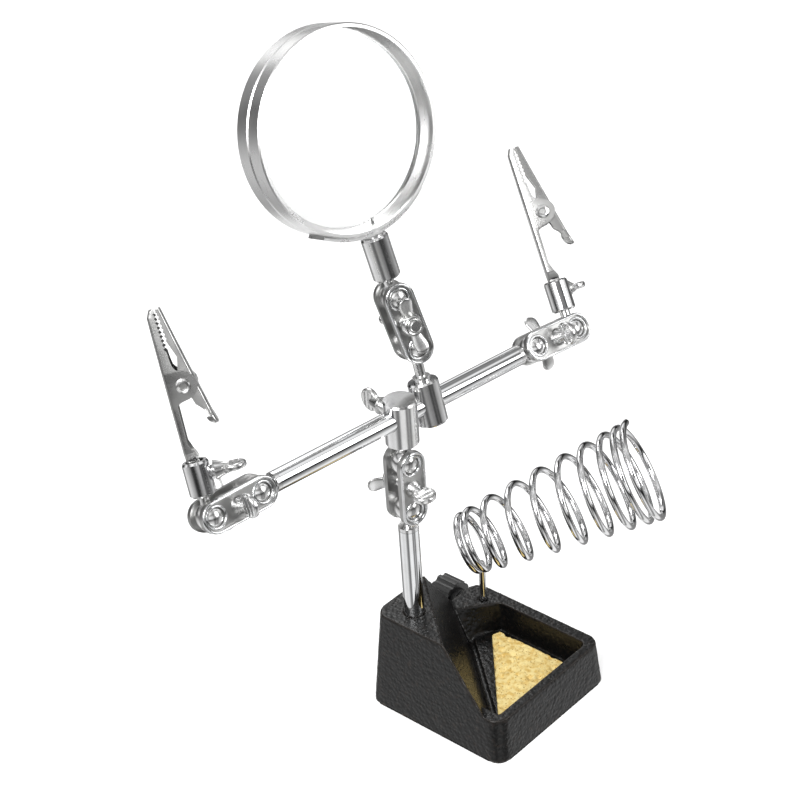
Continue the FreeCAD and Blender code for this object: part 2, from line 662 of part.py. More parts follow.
def build_moving_jaw(name):
    """Jaw and thumb lever in one folded sheet, nested between the fixed jaw's cheeks."""
    body = new_body(f"{name}_body")
    base = "dims.socket_end"
    outline = new_sketch(body, f"{name}_side", "XZ_Plane")
    polygon(outline, [("0.6", f"{base} + dims.clip_length"), ("1.15", f"{base} + 36.5"),
                      ("3.4", f"{base} + 31"), ("1", f"{base} + 27"), ("0.4", f"{base} + 20.5"),
                      ("4.2", f"{base} + 19"), ("8.3", f"{base} + 9.8"), ("9.6", f"{base} + 10.6"),
                      ("6.6", f"{base} + 24"), ("2.2", f"{base} + dims.clip_length")])
    inner = "dims.clip_width - 2 * dims.clip_sheet - 0.3"
    pad(body, f"{name}_blank", outline, inner, midplane=True)
    doc.recompute()
    channel = new_sketch(body, f"{name}_channel_side", "XZ_Plane")
    polygon(channel, [("-1", f"{base} + 12"), ("8.6", f"{base} + 12"), ("5.8", f"{base} + 24"),
                      ("1.5", f"{base} + dims.clip_length - 1"), ("-1", f"{base} + dims.clip_length - 1")])
    pocket(body, f"{name}_channel", channel, f"{inner} - 2 * dims.clip_sheet", midplane=True)
    trim_tip(body, name, base, f"({inner}) / 2")
    hole = new_sketch(body, f"{name}_rivet_circle", "XZ_Plane")
    circle(hole, "dims.rivet_side", f"{base} + dims.rivet_height", "dims.rivet_radius + 0.07")
    pocket(body, f"{name}_rivet_hole", hole, "20", midplane=True)
    return body


def rivet_place(start):
    return Placement(V(size("rivet_side"), start, size("socket_end") + size("rivet_height")),
                     Rotation(X, -90))


def build_rivet(name):
    half = size("clip_width") / 2
    shank = cylinder(f"{name}_shank", "dims.rivet_radius", "dims.clip_width + 0.4", rivet_place(-half - 0.2))
    heads = [cylinder(f"{name}_head_0", "dims.rivet_radius + 0.5", "0.6", rivet_place(-half - 0.62)),
             cylinder(f"{name}_head_1", "dims.rivet_radius + 0.5", "0.6", rivet_place(half + 0.02))]
    return fuse(f"{name}_rivet", [shank] + heads)


def build_clip_spring(name):
    """Torsion spring round the rivet, as the sleeve that its closed turns make."""
    outer = cylinder(f"{name}_outer", "2.5", "3", rivet_place(-1.5))
    inner = cylinder(f"{name}_inner", "1.65", "4", rivet_place(-2))
    return cut(f"{name}_coil", outer, inner)


# ------------------------------------------------------------------ the assembly

def link_frame(start, axis, reference, twist, bend, roll=0.0):
    """Frame of a link, X from ball to ball and Z out of its front plate, and its bend axis."""
    hinge = turned(reference, axis, twist)
    direction = turned(axis, hinge, bend)
    return frame(start, turned(hinge, direction, roll), direction), hinge


def far_ball(link):
    return link.multVec(V(size("ball_spacing"), 0, 0))


def add_link(name, place, nut_in_front=False):
    """Two plates, the screw that squeezes them on the balls, and its wing nut."""
    other_side = at(axis=X, degrees=180)
    finish(build_plate(f"{name}_front_plate"), f"{name}_front_plate", place)
    finish(build_plate(f"{name}_rear_plate"), f"{name}_rear_plate", place.multiply(other_side))
    middle = place.multiply(at(x=size("ball_spacing") / 2))
    ends = [middle, middle.multiply(other_side)]
    if nut_in_front:
        ends.reverse()
    recess = "(dims.plate_inner + dims.plate_thick - dims.plate_recess + 0.05)"
    screw = build_thumb_screw(f"{name}_screw", f"-{recess} - 4.6", recess)
    finish(screw, f"{name}_screw", ends[0])
    turn = 0 if nut_in_front else 90
    finish(build_wing_nut(f"{name}_wing_nut"), f"{name}_wing_nut",
           ends[1].multiply(at(z=number(recess), degrees=turn)))


def add_stand():
    finish(build_base(), "base")
    finish(build_sponge(), "sponge")
    post = cylinder("post_rod", "dims.post_radius",
                    "dims.ball_low - 8.3 - dims.block_height + dims.post_depth - 0.1")
    socket = cylinder("post_end_bore", "dims.neck_radius + dims.fit", "5",
                      at(z=size("ball_low") - 8.3 - size("block_height") + size("post_depth") - 3.9))
    foot = V(size("post_x"), size("post_y"), size("block_height") - size("post_depth") + 0.05)
    finish(cut("post_bored", post, socket), "post", Placement(foot, Rotation()))

    knob = V(size("leg_x"), size("base_side") / 2 + size("knob_gap"), size("knob_height"))
    finish(build_knob(), "clamp_knob", frame(knob, Y, X))
    tip = size("leg_y") + size("wire") / 2 + 0.05 - knob.y
    screw = cylinder("knob_screw_rod", "dims.knob_screw", f"{5 - tip}")
    finish(screw, "clamp_knob_screw", frame(knob + Y * tip, Y, X))
    finish(build_holder(), "coil_holder")


def add_crossbar():
    """Post stud, lower link, crossbar clamp with its stud and screw, and the bar itself."""
    low = V(size("post_x"), size("post_y"), size("ball_low"))
    stud = build_ball_stud("post_ball", "6.9", "dims.post_radius", "1.35")
    finish(stud, "post_ball_stud", frame(low, -Z, X))
    link = link_frame(low, Z, -Y, size("low_twist"), 0.0)[0]
    add_link("lower_link", link)
    stud = build_ball_stud("crossbar_clamp_ball", "7.1", spigot="3.4")
    finish(stud, "crossbar_clamp_ball_stud", frame(far_ball(link), Z, bar_axis))
    solid, tools = build_barrel("crossbar_clamp", "dims.clamp_radius", "-dims.clamp_bottom",
                                "dims.clamp_top", "3.6", bar_bore=True, screw_level="0")
    place = frame(bar_centre, Z, bar_axis)
    finish(bored("crossbar_clamp_block", solid, tools), "crossbar_clamp", place)
    screw = build_thumb_screw("crossbar_clamp_screw", "dims.bar_radius + 0.05",
                              "dims.clamp_screw_reach - dims.paddle_radius - 1.2")
    finish(screw, "crossbar_clamp_screw", frame(bar_centre, bar_side, bar_axis))
    rod = cylinder("crossbar_rod", "dims.bar_radius", "2 * dims.bar_half", at(z=-size("bar_half")))
    bores = [cylinder(f"crossbar_bore_{end}", "dims.neck_radius + dims.fit", "4",
                      at(z=end * (size("bar_half") - 1.6) - 2)) for end in (-1, 1)]
    finish(cut("crossbar_bored", rod, fuse("crossbar_bores", bores)), "crossbar",
           frame(bar_centre, bar_axis, Z))


def add_arm(side, sign):
    """One end of the crossbar: ball stud, link, socket, and the alligator clip in it."""
    axis = bar_axis * sign
    start = bar_centre + axis * (size("bar_half") + 7.4)
    stud = build_ball_stud(f"{side}_bar_ball", "6", "dims.bar_radius", "1.35")
    finish(stud, f"{side}_bar_ball_stud", frame(start, -axis, Z))
    link, hinge = link_frame(start, axis, bar_side, size(f"{side}_twist"), size(f"{side}_bend"))
    add_link(f"{side}_link", link)
    upright = turned(link.Rotation.multVec(X), hinge, size(f"{side}_elbow"))
    rivet = turned(hinge, upright, size(f"{side}_clip_turn"))
    clip = frame(far_ball(link), upright, upright.cross(rivet))
    stud = build_ball_stud(f"{side}_socket_ball", "dims.socket_start - 0.05")
    finish(stud, f"{side}_socket_ball_stud", clip)

    level = f"dims.socket_end - dims.{side}_screw_drop"
    turn = size(f"{side}_screw_turn")
    socket = build_socket(side, "dims.socket_radius", "dims.socket_end", "dims.socket_bore", "6.5",
                          level)
    finish(socket, f"{side}_socket", clip.multiply(at(degrees=turn - 90)))
    outward = turned(clip.Rotation.multVec(X), upright, turn)
    tail_reach = 1.95 if turn == 0 else 2.25
    screw = build_thumb_screw(f"{side}_socket_screw", f"{tail_reach}", "dims.socket_radius + 1.4")
    finish(screw, f"{side}_socket_screw",
           frame(clip.multVec(V(0, 0, number(level))), outward, upright))
    finish(build_fixed_jaw(f"{side}_fixed_jaw"), f"{side}_clip_fixed_jaw", clip)
    finish(build_moving_jaw(f"{side}_moving_jaw"), f"{side}_clip_moving_jaw", clip)
    finish(build_rivet(f"{side}_clip"), f"{side}_clip_rivet", clip)
    finish(build_clip_spring(f"{side}_clip_spring"), f"{side}_clip_spring", clip)


def add_magnifier():
    """Leaning clamp on the bar, its ball stud, the link, and the lens head."""
    lean = turned(Z, bar_axis, -size("mag_clamp_lean"))
    centre = bar_centre + bar_axis * size("mag_clamp_offset")
    solid, tools = build_barrel("magnifier_clamp", "dims.mag_clamp_radius", "-7", "7.5", "4.3",
                                bar_bore=True, stud_on_top=True)
    finish(bored("magnifier_clamp_block", solid, tools), "magnifier_clamp",
           frame(centre, lean, bar_axis))
    start = centre + lean * 19
    stud = build_ball_stud("magnifier_clamp_ball", "10", "2.8", "1.45")
    finish(stud, "magnifier_clamp_ball_stud", frame(start, -lean, bar_axis))

    across = turned(bar_side, bar_axis, -size("mag_clamp_lean"))
    link, hinge = link_frame(start, lean, across, size("mag_twist"), size("mag_bend"),
                             size("mag_roll"))
    add_link("magnifier_link", link, nut_in_front=True)
    upright = turned(link.Rotation.multVec(X), hinge, size("mag_elbow"))
    head = frame(far_ball(link), upright, upright.cross(hinge))
    finish(build_ball_stud("magnifier_socket_ball", "dims.socket_start - 0.05"),
           "magnifier_socket_ball_stud", head)
    socket = build_socket("magnifier", "dims.mag_socket_radius", "dims.mag_socket_end", "1.3", "6")
    finish(socket, "magnifier_socket", head)

    centre = head.multVec(V(0, 0, size("ring_reach")))
    ring = frame(centre, hinge, -upright)
    finish(build_saddle(), "magnifier_saddle", ring)
    finish(build_saddle_screw(), "magnifier_saddle_screw", head)
    finish(build_ring("ring_front"), "magnifier_ring_front", ring)
    finish(build_ring("ring_rear"), "magnifier_ring_rear", ring.multiply(at(axis=X, degrees=180)))
    finish(build_lens(), "magnifier_lens", ring)


bar_centre = V(size("post_x"), size("post_y"), size("bar_height"))
bar_axis = turned(X, Z, size("bar_yaw"))
bar_side = Z.cross(bar_axis)
add_stand()
add_crossbar()
add_arm("left", -1)
add_arm("right", 1)
add_magnifier()
doc.recompute()

failed = [f"{obj.Label} {obj.State}" for obj in doc.Objects
          if "Invalid" in obj.State or "Error" in obj.State]
failed += [f"{piece.Label} shape" for piece in pieces
           if piece.Shape.isNull() or not piece.Shape.isValid() or len(piece.Shape.Solids) != 1]
if failed:
    raise RuntimeError("failed objects: " + ", ".join(failed))

os.makedirs("parts", exist_ok=True)
for piece in pieces:
    piece.Shape.exportStep(f"parts/{piece.Label}.step")
    print(f"{piece.Label:32s} {piece.Shape.Volume:10.1f} mm3")
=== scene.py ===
import json
import math

import bmesh
import bpy
import numpy as np
from mathutils import Matrix, Vector, noise


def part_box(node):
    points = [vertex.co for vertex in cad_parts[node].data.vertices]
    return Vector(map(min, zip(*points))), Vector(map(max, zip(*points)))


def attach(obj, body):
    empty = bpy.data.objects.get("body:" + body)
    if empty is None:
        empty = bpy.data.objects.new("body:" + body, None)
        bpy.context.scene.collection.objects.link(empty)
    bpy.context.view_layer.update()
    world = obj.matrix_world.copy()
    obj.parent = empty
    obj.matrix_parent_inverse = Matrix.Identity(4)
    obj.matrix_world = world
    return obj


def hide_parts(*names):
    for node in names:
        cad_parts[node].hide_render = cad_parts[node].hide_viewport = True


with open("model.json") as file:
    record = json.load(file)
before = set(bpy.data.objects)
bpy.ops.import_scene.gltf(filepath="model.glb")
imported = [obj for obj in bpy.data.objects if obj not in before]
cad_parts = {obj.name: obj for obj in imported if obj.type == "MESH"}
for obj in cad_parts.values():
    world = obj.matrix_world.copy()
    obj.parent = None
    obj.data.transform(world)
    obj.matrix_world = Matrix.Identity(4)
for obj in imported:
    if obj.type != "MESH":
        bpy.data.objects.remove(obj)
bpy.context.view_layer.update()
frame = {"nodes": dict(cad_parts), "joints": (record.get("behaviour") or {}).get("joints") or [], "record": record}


# ---------------------------------------------------------------------------
# Base: a small cast block with a raised boss for the post and a sunk sponge tray.
# Zinc alloy poured in a metal mould, then sprayed with a black wrinkle paint that
# bunches into fine soft pebbles; its sharp edges carry a painted highlight of lighter brown.

MM = 0.001
nodes = frame["nodes"]
body_of = {node: body for body, held in frame["record"]["behaviour"]["bodies"].items() for node in held}


def wrinkle_group():
    """Shader group: the pebbled height, the bare speckle and a painted highlight on the sharp edges of a sprayed
    casting.
    """
    group = bpy.data.node_groups.new("cast_wrinkle", "ShaderNodeTree")
    face = group.interface
    face.new_socket("Grain", in_out="INPUT", socket_type="NodeSocketFloat").default_value = 900.0
    face.new_socket("Lift", in_out="INPUT", socket_type="NodeSocketFloat").default_value = 0.4
    for name in ("Speckle", "Edge", "Pebble"):
        face.new_socket(name, in_out="OUTPUT", socket_type="NodeSocketFloat")
    face.new_socket("Normal", in_out="OUTPUT", socket_type="NodeSocketVector")
    add, join = group.nodes.new, group.links.new
    given, result = add("NodeGroupInput"), add("NodeGroupOutput")
    place = add("ShaderNodeTexCoord")
    pebble = add("ShaderNodeTexVoronoi")
    pebble.feature = "SMOOTH_F1"
    pebble.inputs["Smoothness"].default_value = 0.7
    join(place.outputs["Object"], pebble.inputs["Vector"])
    join(given.outputs["Grain"], pebble.inputs["Scale"])
    speck = add("ShaderNodeTexNoise")
    speck.inputs["Scale"].default_value = 620.0
    speck.inputs["Detail"].default_value = 5.0
    join(place.outputs["Object"], speck.inputs["Vector"])
    speckle = add("ShaderNodeMapRange")
    speckle.inputs["From Min"].default_value = 0.54
    speckle.inputs["From Max"].default_value = 0.72
    join(speck.outputs["Fac"], speckle.inputs["Value"])
    # Pointiness mask of the sharp convex edges, used to paint a highlight along them
    corner = add("ShaderNodeNewGeometry")
    edge = add("ShaderNodeMapRange")
    edge.inputs["From Min"].default_value = 0.505
    edge.inputs["From Max"].default_value = 0.58
    join(corner.outputs["Pointiness"], edge.inputs["Value"])
    bump = add("ShaderNodeBump")
    bump.inputs["Distance"].default_value = 0.0003
    join(given.outputs["Lift"], bump.inputs["Strength"])
    join(pebble.outputs["Distance"], bump.inputs["Height"])
    join(speckle.outputs["Result"], result.inputs["Speckle"])
    join(edge.outputs["Result"], result.inputs["Edge"])
    join(pebble.outputs["Distance"], result.inputs["Pebble"])
    join(bump.outputs["Normal"], result.inputs["Normal"])
    return group


def new_material(name):
    """A node material and its Principled shader, ready to be wired."""
    material = bpy.data.materials.new(name)
    material.use_nodes = True
    return material, material.node_tree, material.node_tree.nodes["Principled BSDF"]


def blend_colours(tree, mask, low, high):
    """Colour that goes from low to high as the mask goes from 0 to 1."""
    mix = tree.nodes.new("ShaderNodeMix")
    mix.data_type = "RGBA"
    mix.inputs["A"].default_value = (*low, 1)
    mix.inputs["B"].default_value = (*high, 1)
    tree.links.new(mask, mix.inputs["Factor"])
    return mix.outputs["Result"]


def chain_colours(tree, below, mask, colour):
    """Lays one more colour over a colour already mixed."""
    mix = tree.nodes.new("ShaderNodeMix")
    mix.data_type = "RGBA"
    mix.inputs["B"].default_value = (*colour, 1)
    tree.links.new(below, mix.inputs["A"])
    tree.links.new(mask, mix.inputs["Factor"])
    return mix.outputs["Result"]


def spread(tree, mask, low, high):
    """A value that runs from low to high with the mask."""
    span = tree.nodes.new("ShaderNodeMapRange")
    span.inputs["To Min"].default_value = low
    span.inputs["To Max"].default_value = high
    tree.links.new(mask, span.inputs["Value"])
    return span.outputs["Result"]


WRINKLE = wrinkle_group()


def wrinkle_paint():
    material, tree, shader = new_material("black_wrinkle_paint")
    wrinkle = tree.nodes.new("ShaderNodeGroup")
    wrinkle.node_tree = WRINKLE
    wrinkle.inputs["Grain"].default_value = 850.0
    wrinkle.inputs["Lift"].default_value = 0.55
    paint = blend_colours(tree, wrinkle.outputs["Speckle"], (0.004, 0.004, 0.004), (0.014, 0.010, 0.008))
    # painted highlight: the sharp edges are lifted to a lighter brown-black
    paint = chain_colours(tree, paint, wrinkle.outputs["Edge"], (0.03, 0.024, 0.02))
    tree.links.new(paint, shader.inputs["Base Color"])
    tree.links.new(spread(tree, wrinkle.outputs["Pebble"], 0.24, 0.4), shader.inputs["Roughness"])
    tree.links.new(wrinkle.outputs["Normal"], shader.inputs["Normal"])
    shader.inputs["Specular IOR Level"].default_value = 0.32
    return material


def cad_copy(node, name):
    """A loose copy of a CAD node's mesh, to be reworked as a new piece."""
    mesh = nodes[node].data.copy()
    mesh.materials.clear()
    piece = bpy.data.objects.new(name, mesh)
    bpy.context.scene.collection.objects.link(piece)
    return piece


def apply_modifiers(piece):
    """Leaves the piece's mesh as its modifiers made it."""
    graph = bpy.context.evaluated_depsgraph_get()
    made = bpy.data.meshes.new_from_object(piece.evaluated_get(graph))
    piece.modifiers.clear()
    piece.data = made


def read_points(mesh):
    points = np.zeros(len(mesh.vertices) * 3)
    mesh.vertices.foreach_get("co", points)
    return points.reshape(-1, 3)


def read_normals(mesh):
    normals = np.zeros(len(mesh.vertices) * 3)
    mesh.vertices.foreach_get("normal", normals)
    return normals.reshape(-1, 3)


def write_points(mesh, points):
    mesh.vertices.foreach_set("co", points.ravel())
    mesh.update()


def remeshed(node, name, voxel, rounds):
    """The CAD solid as one even fine skin, its edges softened by a few smoothing rounds."""
    piece = cad_copy(node, name)
    weld = piece.modifiers.new("weld", "WELD")
    weld.merge_threshold = 1e-6
    skin = piece.modifiers.new("skin", "REMESH")
    skin.mode, skin.voxel_size = "VOXEL", voxel
    soften = piece.modifiers.new("soften", "SMOOTH")
    soften.factor, soften.iterations = 0.5, rounds
    apply_modifiers(piece)
    piece.data.shade_smooth()
    return piece


def stand_for(piece, *held):
    """The piece takes the place of CAD nodes and rides on their body."""
    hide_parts(*held)
    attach(piece, body_of[held[0]])


BASE_VOXEL = 0.5 * MM
PEBBLE_LIFT = 0.09 * MM
FOOT_BAND = 0.3 * MM
base = remeshed("base", "base_casting", BASE_VOXEL, 3)
low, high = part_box("base")
points, normals = read_points(base.data), read_normals(base.data)
pebble_height = np.array([
    0.6 * noise.noise(Vector(p) / (1.5 * MM)) + 0.4 * noise.noise(Vector(p) / (3.7 * MM)) for p in points])
points += normals * (pebble_height * PEBBLE_LIFT)[:, None]
points = np.clip(points, np.array(low), np.array(high))
points[points[:, 2] < FOOT_BAND, 2] = 0.0
write_points(base.data, points)
base.data.materials.append(wrinkle_paint())
stand_for(base, "base")


# ---------------------------------------------------------------------------
# Sponge: a piece of pressed cellulose cut to the tray's slant, used damp to wipe a hot tip.
# Pale yellow, open pores of every size, the finest pinholes painted on as dark spots of shade, loose in the tray.

def sponge_cellulose():
    material, tree, shader = new_material("sponge_cellulose")
    place = tree.nodes.new("ShaderNodeTexCoord")
    stain = tree.nodes.new("ShaderNodeTexNoise")
    stain.inputs["Scale"].default_value = 620.0
    stain.inputs["Detail"].default_value = 6.0
    tree.links.new(place.outputs["Object"], stain.inputs["Vector"])
    pore_shade_cells = tree.nodes.new("ShaderNodeTexVoronoi")
    pore_shade_cells.inputs["Scale"].default_value = 900.0
    tree.links.new(place.outputs["Object"], pore_shade_cells.inputs["Vector"])
    patch = tree.nodes.new("ShaderNodeMapRange")
    patch.inputs["From Min"].default_value = 0.42
    patch.inputs["From Max"].default_value = 0.66
    tree.links.new(stain.outputs["Fac"], patch.inputs["Value"])
    # painted shade: dark brown spots at the Voronoi cell centres stand for the shadow inside fine pinholes
    pinhole_shade = tree.nodes.new("ShaderNodeMapRange")
    pinhole_shade.inputs["From Min"].default_value = 0.28
    pinhole_shade.inputs["From Max"].default_value = 0.12
    tree.links.new(pore_shade_cells.outputs["Distance"], pinhole_shade.inputs["Value"])
    colour = blend_colours(tree, patch.outputs["Result"], (0.84, 0.68, 0.30), (0.66, 0.44, 0.12))
    # the pinhole spots are painted shade laid over the stain colour
    colour = chain_colours(tree, colour, pinhole_shade.outputs["Result"], (0.42, 0.25, 0.06))
    tree.links.new(colour, shader.inputs["Base Color"])
    bump = tree.nodes.new("ShaderNodeBump")
    bump.inputs["Distance"].default_value = 0.0004
    bump.inputs["Strength"].default_value = 0.5
    tree.links.new(stain.outputs["Fac"], bump.inputs["Height"])
    tree.links.new(bump.outputs["Normal"], shader.inputs["Normal"])
    tree.links.new(spread(tree, stain.outputs["Fac"], 0.8, 0.98), shader.inputs["Roughness"])
    return material


SPONGE_VOXEL = 0.33 * MM
PORES = ((4.6, 1.1, 0.36), (2.6, 0.7, 0.36), (1.4, 0.3, 0.4))     # cell, depth, share of the cell
sponge = remeshed("sponge", "tip_sponge", SPONGE_VOXEL, 2)
low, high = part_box("sponge")
points, normals = read_points(sponge.data), read_normals(sponge.data)
pits = np.zeros(len(points))
for cell, depth, reach in PORES:
    for index, point in enumerate(points):
        near = noise.voronoi(Vector(point) / (cell * MM))[0][0]
        pits[index] += depth * max(0.0, 1 - near / reach)
points -= normals * (pits * MM)[:, None]
points = np.clip(points, np.array(low), np.array(high))
write_points(sponge.data, points)
sponge.data.materials.append(sponge_cellulose())
stand_for(sponge, "sponge")


# ---------------------------------------------------------------------------
# Post, crossbar, ball studs, sockets and clamps: turned and drilled steel,
# nickel and then bright chrome plated, so they mirror the room with faint
# polishing haze and a trace of handling.

def plating_group():
    """Shader group: handling haze, fine polish lines and a faint ripple on a plated surface."""
    group = bpy.data.node_groups.new("plating", "ShaderNodeTree")
    face = group.interface
    for name, value in (("Sheen", 0.08), ("Haze", 0.1), ("Ripple", 0.03), ("Grain", 900.0)):
        face.new_socket(name, in_out="INPUT", socket_type="NodeSocketFloat").default_value = value
    face.new_socket("Roughness", in_out="OUTPUT", socket_type="NodeSocketFloat")
    face.new_socket("Smudge", in_out="OUTPUT", socket_type="NodeSocketFloat")
    face.new_socket("Normal", in_out="OUTPUT", socket_type="NodeSocketVector")
    add, join = group.nodes.new, group.links.new
    given, result = add("NodeGroupInput"), add("NodeGroupOutput")
    place = add("ShaderNodeTexCoord")
    cloud = add("ShaderNodeTexNoise")
    cloud.inputs["Scale"].default_value = 140.0
    cloud.inputs["Detail"].default_value = 4.0
    join(place.outputs["Object"], cloud.inputs["Vector"])
    grain = add("ShaderNodeTexNoise")
    grain.inputs["Detail"].default_value = 3.0
    join(place.outputs["Object"], grain.inputs["Vector"])
    join(given.outputs["Grain"], grain.inputs["Scale"])
    smudge = add("ShaderNodeMapRange")
    smudge.inputs["From Min"].default_value = 0.4
    smudge.inputs["From Max"].default_value = 0.75
    join(cloud.outputs["Fac"], smudge.inputs["Value"])
    haze = add("ShaderNodeMath")
    haze.operation = "MULTIPLY"
    join(smudge.outputs["Result"], haze.inputs[0])
    join(given.outputs["Haze"], haze.inputs[1])
    total = add("ShaderNodeMath")
    total.operation = "ADD"
    join(haze.outputs[0], total.inputs[0])
    join(given.outputs["Sheen"], total.inputs[1])
    bump = add("ShaderNodeBump")
    bump.inputs["Distance"].default_value = 0.0002
    join(given.outputs["Ripple"], bump.inputs["Strength"])
    join(grain.outputs["Fac"], bump.inputs["Height"])
    join(total.outputs[0], result.inputs["Roughness"])
    join(smudge.outputs["Result"], result.inputs["Smudge"])
    join(bump.outputs["Normal"], result.inputs["Normal"])
    return group


PLATING = plating_group()


def plated(name, clean, handled, sheen, haze, ripple, grain):
    """Plated metal: clean and handled colours, mirror sheen, haze and the ripple under the plate."""
    material, tree, shader = new_material(name)
    plating = tree.nodes.new("ShaderNodeGroup")
    plating.node_tree = PLATING
    for socket, value in (("Sheen", sheen), ("Haze", haze), ("Ripple", ripple), ("Grain", grain)):
        plating.inputs[socket].default_value = value
    colour = blend_colours(tree, plating.outputs["Smudge"], clean, handled)
    tree.links.new(colour, shader.inputs["Base Color"])
    tree.links.new(plating.outputs["Roughness"], shader.inputs["Roughness"])
    tree.links.new(plating.outputs["Normal"], shader.inputs["Normal"])
    shader.inputs["Metallic"].default_value = 1.0
    return material


chrome = plated("bright_chrome", (0.83, 0.84, 0.85), (0.76, 0.76, 0.76), 0.05, 0.07, 0.02, 700.0)
nickel = plated("satin_nickel", (0.47, 0.47, 0.465), (0.38, 0.38, 0.375), 0.3, 0.14, 0.06, 1300.0)
clip_plate = plated("clip_nickel", (0.5, 0.5, 0.495), (0.38, 0.38, 0.375), 0.24, 0.16, 0.08, 1500.0)
soft_chrome = plated("tumbled_chrome", (0.78, 0.78, 0.78), (0.66, 0.66, 0.65), 0.2, 0.1, 0.04, 900.0)
wire_plate = plated("wire_chrome", (0.8, 0.8, 0.81), (0.7, 0.7, 0.7), 0.07, 0.08, 0.03, 500.0)
turned_chrome = plated("turned_chrome", (0.8, 0.8, 0.81), (0.7, 0.7, 0.69), 0.13, 0.09, 0.02, 700.0)
ring_plate = plated("ring_chrome", (0.92, 0.92, 0.92), (0.84, 0.84, 0.83), 0.27, 0.08, 0.03, 600.0)


def finish_node(node, material, crease=32):
    """A CAD node that keeps its shape: smooth across its curves, crisp at its edges, in its own finish."""
    piece = nodes[node]
    for custom in [a for a in piece.data.attributes if a.name == "custom_normal"]:
        piece.data.attributes.remove(custom)
    piece.data.materials.clear()
    piece.data.materials.append(material)
    for polygon in piece.data.polygons:
        polygon.material_index = 0
    piece.data.shade_smooth()
    weld = piece.modifiers.new("weld", "WELD")
    weld.merge_threshold = 2e-6
    split = piece.modifiers.new("crease", "EDGE_SPLIT")
    split.split_angle = math.radians(crease)


for node in nodes:
    if node in ("post", "crossbar"):
        finish_node(node, chrome)
    elif node in ("crossbar_clamp", "magnifier_clamp") or node.endswith("socket"):
        finish_node(node, turned_chrome)
    elif node.endswith("ball_stud"):
        finish_node(node, soft_chrome)
    elif node.endswith("_plate"):
        finish_node(node, nickel)
    elif node.startswith(("magnifier_ring", "magnifier_saddle")):
        finish_node(node, ring_plate)


# ---------------------------------------------------------------------------
# Clamp knob: a moulded fluted head of black plastic on a steel screw, which
# bears on the iron holder's leg through the side of the casting.

def knob_moulding():
    material, tree, shader = new_material("knob_plastic")
    wrinkle = tree.nodes.new("ShaderNodeGroup")
    wrinkle.node_tree = WRINKLE
    wrinkle.inputs["Grain"].default_value = 2600.0
    wrinkle.inputs["Lift"].default_value = 0.12
    plastic = blend_colours(tree, wrinkle.outputs["Speckle"], (0.006, 0.006, 0.0065), (0.014, 0.014, 0.015))
    # painted highlight: the sharp edges are lifted to a lighter grey
    plastic = chain_colours(tree, plastic, wrinkle.outputs["Edge"], (0.03, 0.03, 0.03))
    tree.links.new(plastic, shader.inputs["Base Color"])
    tree.links.new(spread(tree, wrinkle.outputs["Pebble"], 0.3, 0.44), shader.inputs["Roughness"])
    tree.links.new(wrinkle.outputs["Normal"], shader.inputs["Normal"])
    return material


finish_node("clamp_knob", knob_moulding())
finish_node("clamp_knob_screw", nickel)


# ---------------------------------------------------------------------------
# Iron holder: one length of chromed spring wire. Its leg stands in the ledge, and
# the rest is wound into a cone that takes the iron's nose, closed at both ends.

def tube(path, radius, sides=20):
    """Corners and faces of a round wire along a path, its rings carried along without twist."""
    path = np.array(path)
    along = np.gradient(path, axis=0)
    along /= np.linalg.norm(along, axis=1)[:, None]
    across = np.cross(along[0], (0.31, 0.52, 0.79))
    turns = np.linspace(0, 2 * math.pi, sides, endpoint=False)
    corners, faces = [], []
    for place, way in zip(path, along):
        across = across - way * across.dot(way)
        across /= np.linalg.norm(across)
        other = np.cross(way, across)
        corners += [place + radius * (math.cos(a) * across + math.sin(a) * other) for a in turns]
    for ring in range(len(path) - 1):
        start = ring * sides
        faces += [(start + k, start + (k + 1) % sides, start + sides + (k + 1) % sides, start + sides + k)
                  for k in range(sides)]
    faces += [tuple(reversed(range(sides))), tuple(range(len(corners) - sides, len(corners)))]
    return corners, faces


def build_piece(name, shells, material, crease=35, matrix=None):
    """One object from several closed shells given as corners and faces."""
    corners, faces = [], []
    for shell_corners, shell_faces in shells:
        start = len(corners)
        corners += [tuple(corner) for corner in shell_corners]
        faces += [tuple(start + index for index in face) for face in shell_faces]
    mesh = bpy.data.meshes.new(name)
    mesh.from_pydata(corners, [], faces)
    if matrix is not None:
        mesh.transform(matrix)
    form = bmesh.new()
    form.from_mesh(mesh)
    bmesh.ops.remove_doubles(form, verts=form.verts, dist=2e-6)
    bmesh.ops.dissolve_degenerate(form, edges=form.edges, dist=1e-7)
    bmesh.ops.recalc_face_normals(form, faces=form.faces)
    form.to_mesh(mesh)
    form.free()
    mesh.materials.append(material)
    mesh.shade_smooth()
    mesh.set_sharp_from_angle(angle=math.radians(crease))
    piece = bpy.data.objects.new(name, mesh)
    bpy.context.scene.collection.objects.link(piece)
    return piece


joints = {joint["name"]: joint for joint in frame["joints"]}
WIRE_RADIUS = 1.15 * MM
COIL_AZIMUTH, COIL_RISE = math.radians(-53), math.radians(26.5)
COIL_TURNS, COIL_LENGTH = 9.6, 66.0
COIL_SMALL, COIL_LARGE = 9.7, 16.7
LEG_DEPTH, LEG_RISE, LEG_BEND = 9.0, 16.4, 2.6
PITCH_TURNS = (0, 1.1, 2.0, 2.8, 5.0, 6.5, 7.6, 8.4, 9.6)
PITCHES = (2.75, 2.8, 8.5, 9.8, 9.8, 8.0, 6.5, 3.9, 3.5)
COIL_STEPS = 60


